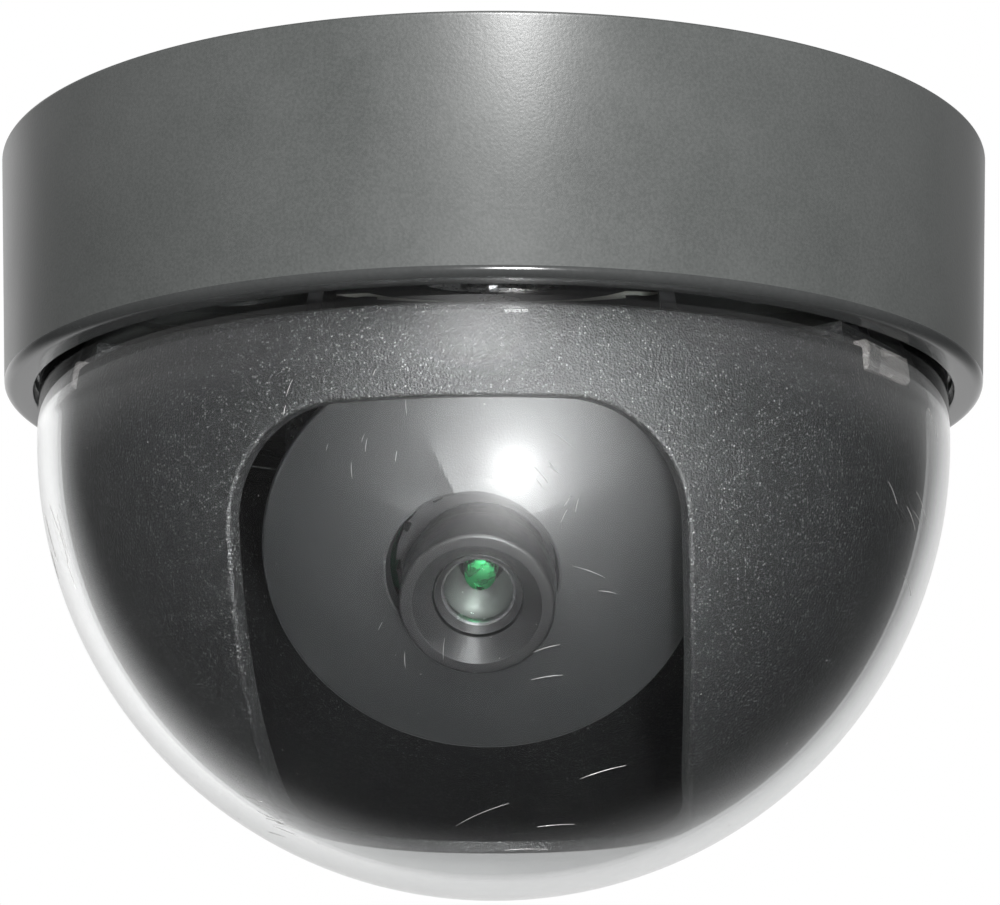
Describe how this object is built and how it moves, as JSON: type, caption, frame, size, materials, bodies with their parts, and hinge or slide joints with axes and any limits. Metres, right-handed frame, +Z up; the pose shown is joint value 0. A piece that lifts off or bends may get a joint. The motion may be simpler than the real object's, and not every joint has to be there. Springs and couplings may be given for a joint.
{
  "type": "dome camera",
  "caption": "Ceiling dome camera: a round housing, a clear dome with a slotted dark liner, and a lens head that pans and tilts inside.",
  "frame": {"origin": "centre of the mounting face that lies against the ceiling", "axes": "+Z up into the ceiling, the lens faces -Y and down at rest, +X is to the right seen from the front"},
  "size_m": [0.1, 0.1, 0.0741],
  "materials": {
    "housing_plastic": "satin charcoal moulded plastic with a polished lower lip",
    "ring_plastic": "plain black moulded plastic",
    "liner_plastic": "charcoal plastic, sparkly spark-eroded texture",
    "shroud_plastic": "fine matt charcoal plastic",
    "clear_dome": "clear polished acrylic with fine scratches",
    "grommet_rubber": "black moulded rubber",
    "bright_steel": "zinc plated steel",
    "black_screw": "blackened steel",
    "acetal": "natural acetal",
    "black_metal": "black coated steel",
    "barrel_metal": "black anodised aluminium",
    "holder_plastic": "matt black moulded plastic",
    "circuit_board": "green solder mask",
    "chip_black": "black moulded package",
    "socket_plastic": "off-white moulded plastic",
    "capacitor_sleeve": "dark shrink sleeve",
    "brass_spacer": "turned brass",
    "lens_glass": "coated optical glass with a green reflection"
  },
  "bodies": {
    "base": {"base_plate": "housing_plastic", "cable_grommet": "grommet_rubber", "pan_screw": "bright_steel", "pan_washer": "acetal"},
    "housing": {"housing_cover": "housing_plastic", "dome_retaining_ring": "ring_plastic", "dome_gasket": "grommet_rubber"},
    "dome": {"dome_window": "clear_dome", "liner_shroud": "liner_plastic", "liner_screw_1": "black_screw", "liner_screw_2": "black_screw", "liner_screw_3": "black_screw"},
    "turntable": {"pan_turntable": "acetal", "yoke_bracket": "black_metal", "yoke_screw_front": "bright_steel", "yoke_screw_rear": "bright_steel"},
    "camera_head": {"camera_shroud": "shroud_plastic", "tilt_screw_left": "bright_steel", "tilt_screw_right": "bright_steel", "tilt_washer_left": "acetal", "tilt_washer_right": "acetal", "sensor_board": "circuit_board", "power_board": "circuit_board", "board_screw_1": "bright_steel", "board_screw_2": "bright_steel", "board_screw_3": "bright_steel", "board_screw_4": "bright_steel", "board_spacer_1": "brass_spacer", "board_spacer_2": "brass_spacer", "board_spacer_3": "brass_spacer", "board_spacer_4": "brass_spacer", "image_sensor": "chip_black", "ir_filter": "lens_glass", "video_processor": "chip_black", "board_header": "chip_black", "cable_socket": "socket_plastic", "filter_capacitor": "capacitor_sleeve", "oscillator": "bright_steel", "lens_holder": "holder_plastic", "focus_lock_ring": "black_metal"},
    "lens_group": {"front_element": "lens_glass", "aperture_stop": "black_metal", "rear_element": "lens_glass"},
    "focus_barrel": {"lens_barrel": "barrel_metal", "lens_retainer": "barrel_metal"}
  },
  "joints": [
    {"name": "housing_twist", "type": "hinge", "parent": "base", "child": "housing", "pos_m": [0, 0, -0.01], "axis": [0, 0, 1], "range_deg": [0, 24]},
    {"name": "dome_turn", "type": "hinge", "parent": "housing", "child": "dome", "pos_m": [0, 0, -0.0283], "axis": [0, 0, 1], "continuous": true},
    {"name": "camera_pan", "type": "hinge", "parent": "base", "child": "turntable", "pos_m": [0, 0, -0.004], "axis": [0, 0, 1], "range_deg": [-175, 175]},
    {"name": "camera_tilt", "type": "hinge", "parent": "turntable", "child": "camera_head", "pos_m": [0, 0, -0.0283], "axis": [1, 0, 0], "range_deg": [-36.5, 53.5]},
    {"name": "focus_advance", "type": "slide", "parent": "camera_head", "child": "lens_group", "axis": [0, -0.8039, -0.5948], "range_m": [-0.00025, 0.00025]},
    {"name": "focus_turn", "type": "hinge", "parent": "lens_group", "child": "focus_barrel", "pos_m": [0, -0.02412, -0.04614], "axis": [0, -0.8039, -0.5948], "range_deg": [-180.1, 180.1]}
  ],
  "couplings": [
    {"joint": "focus_turn", "follows": "focus_advance", "rad_per_m": 12566}
  ]
}
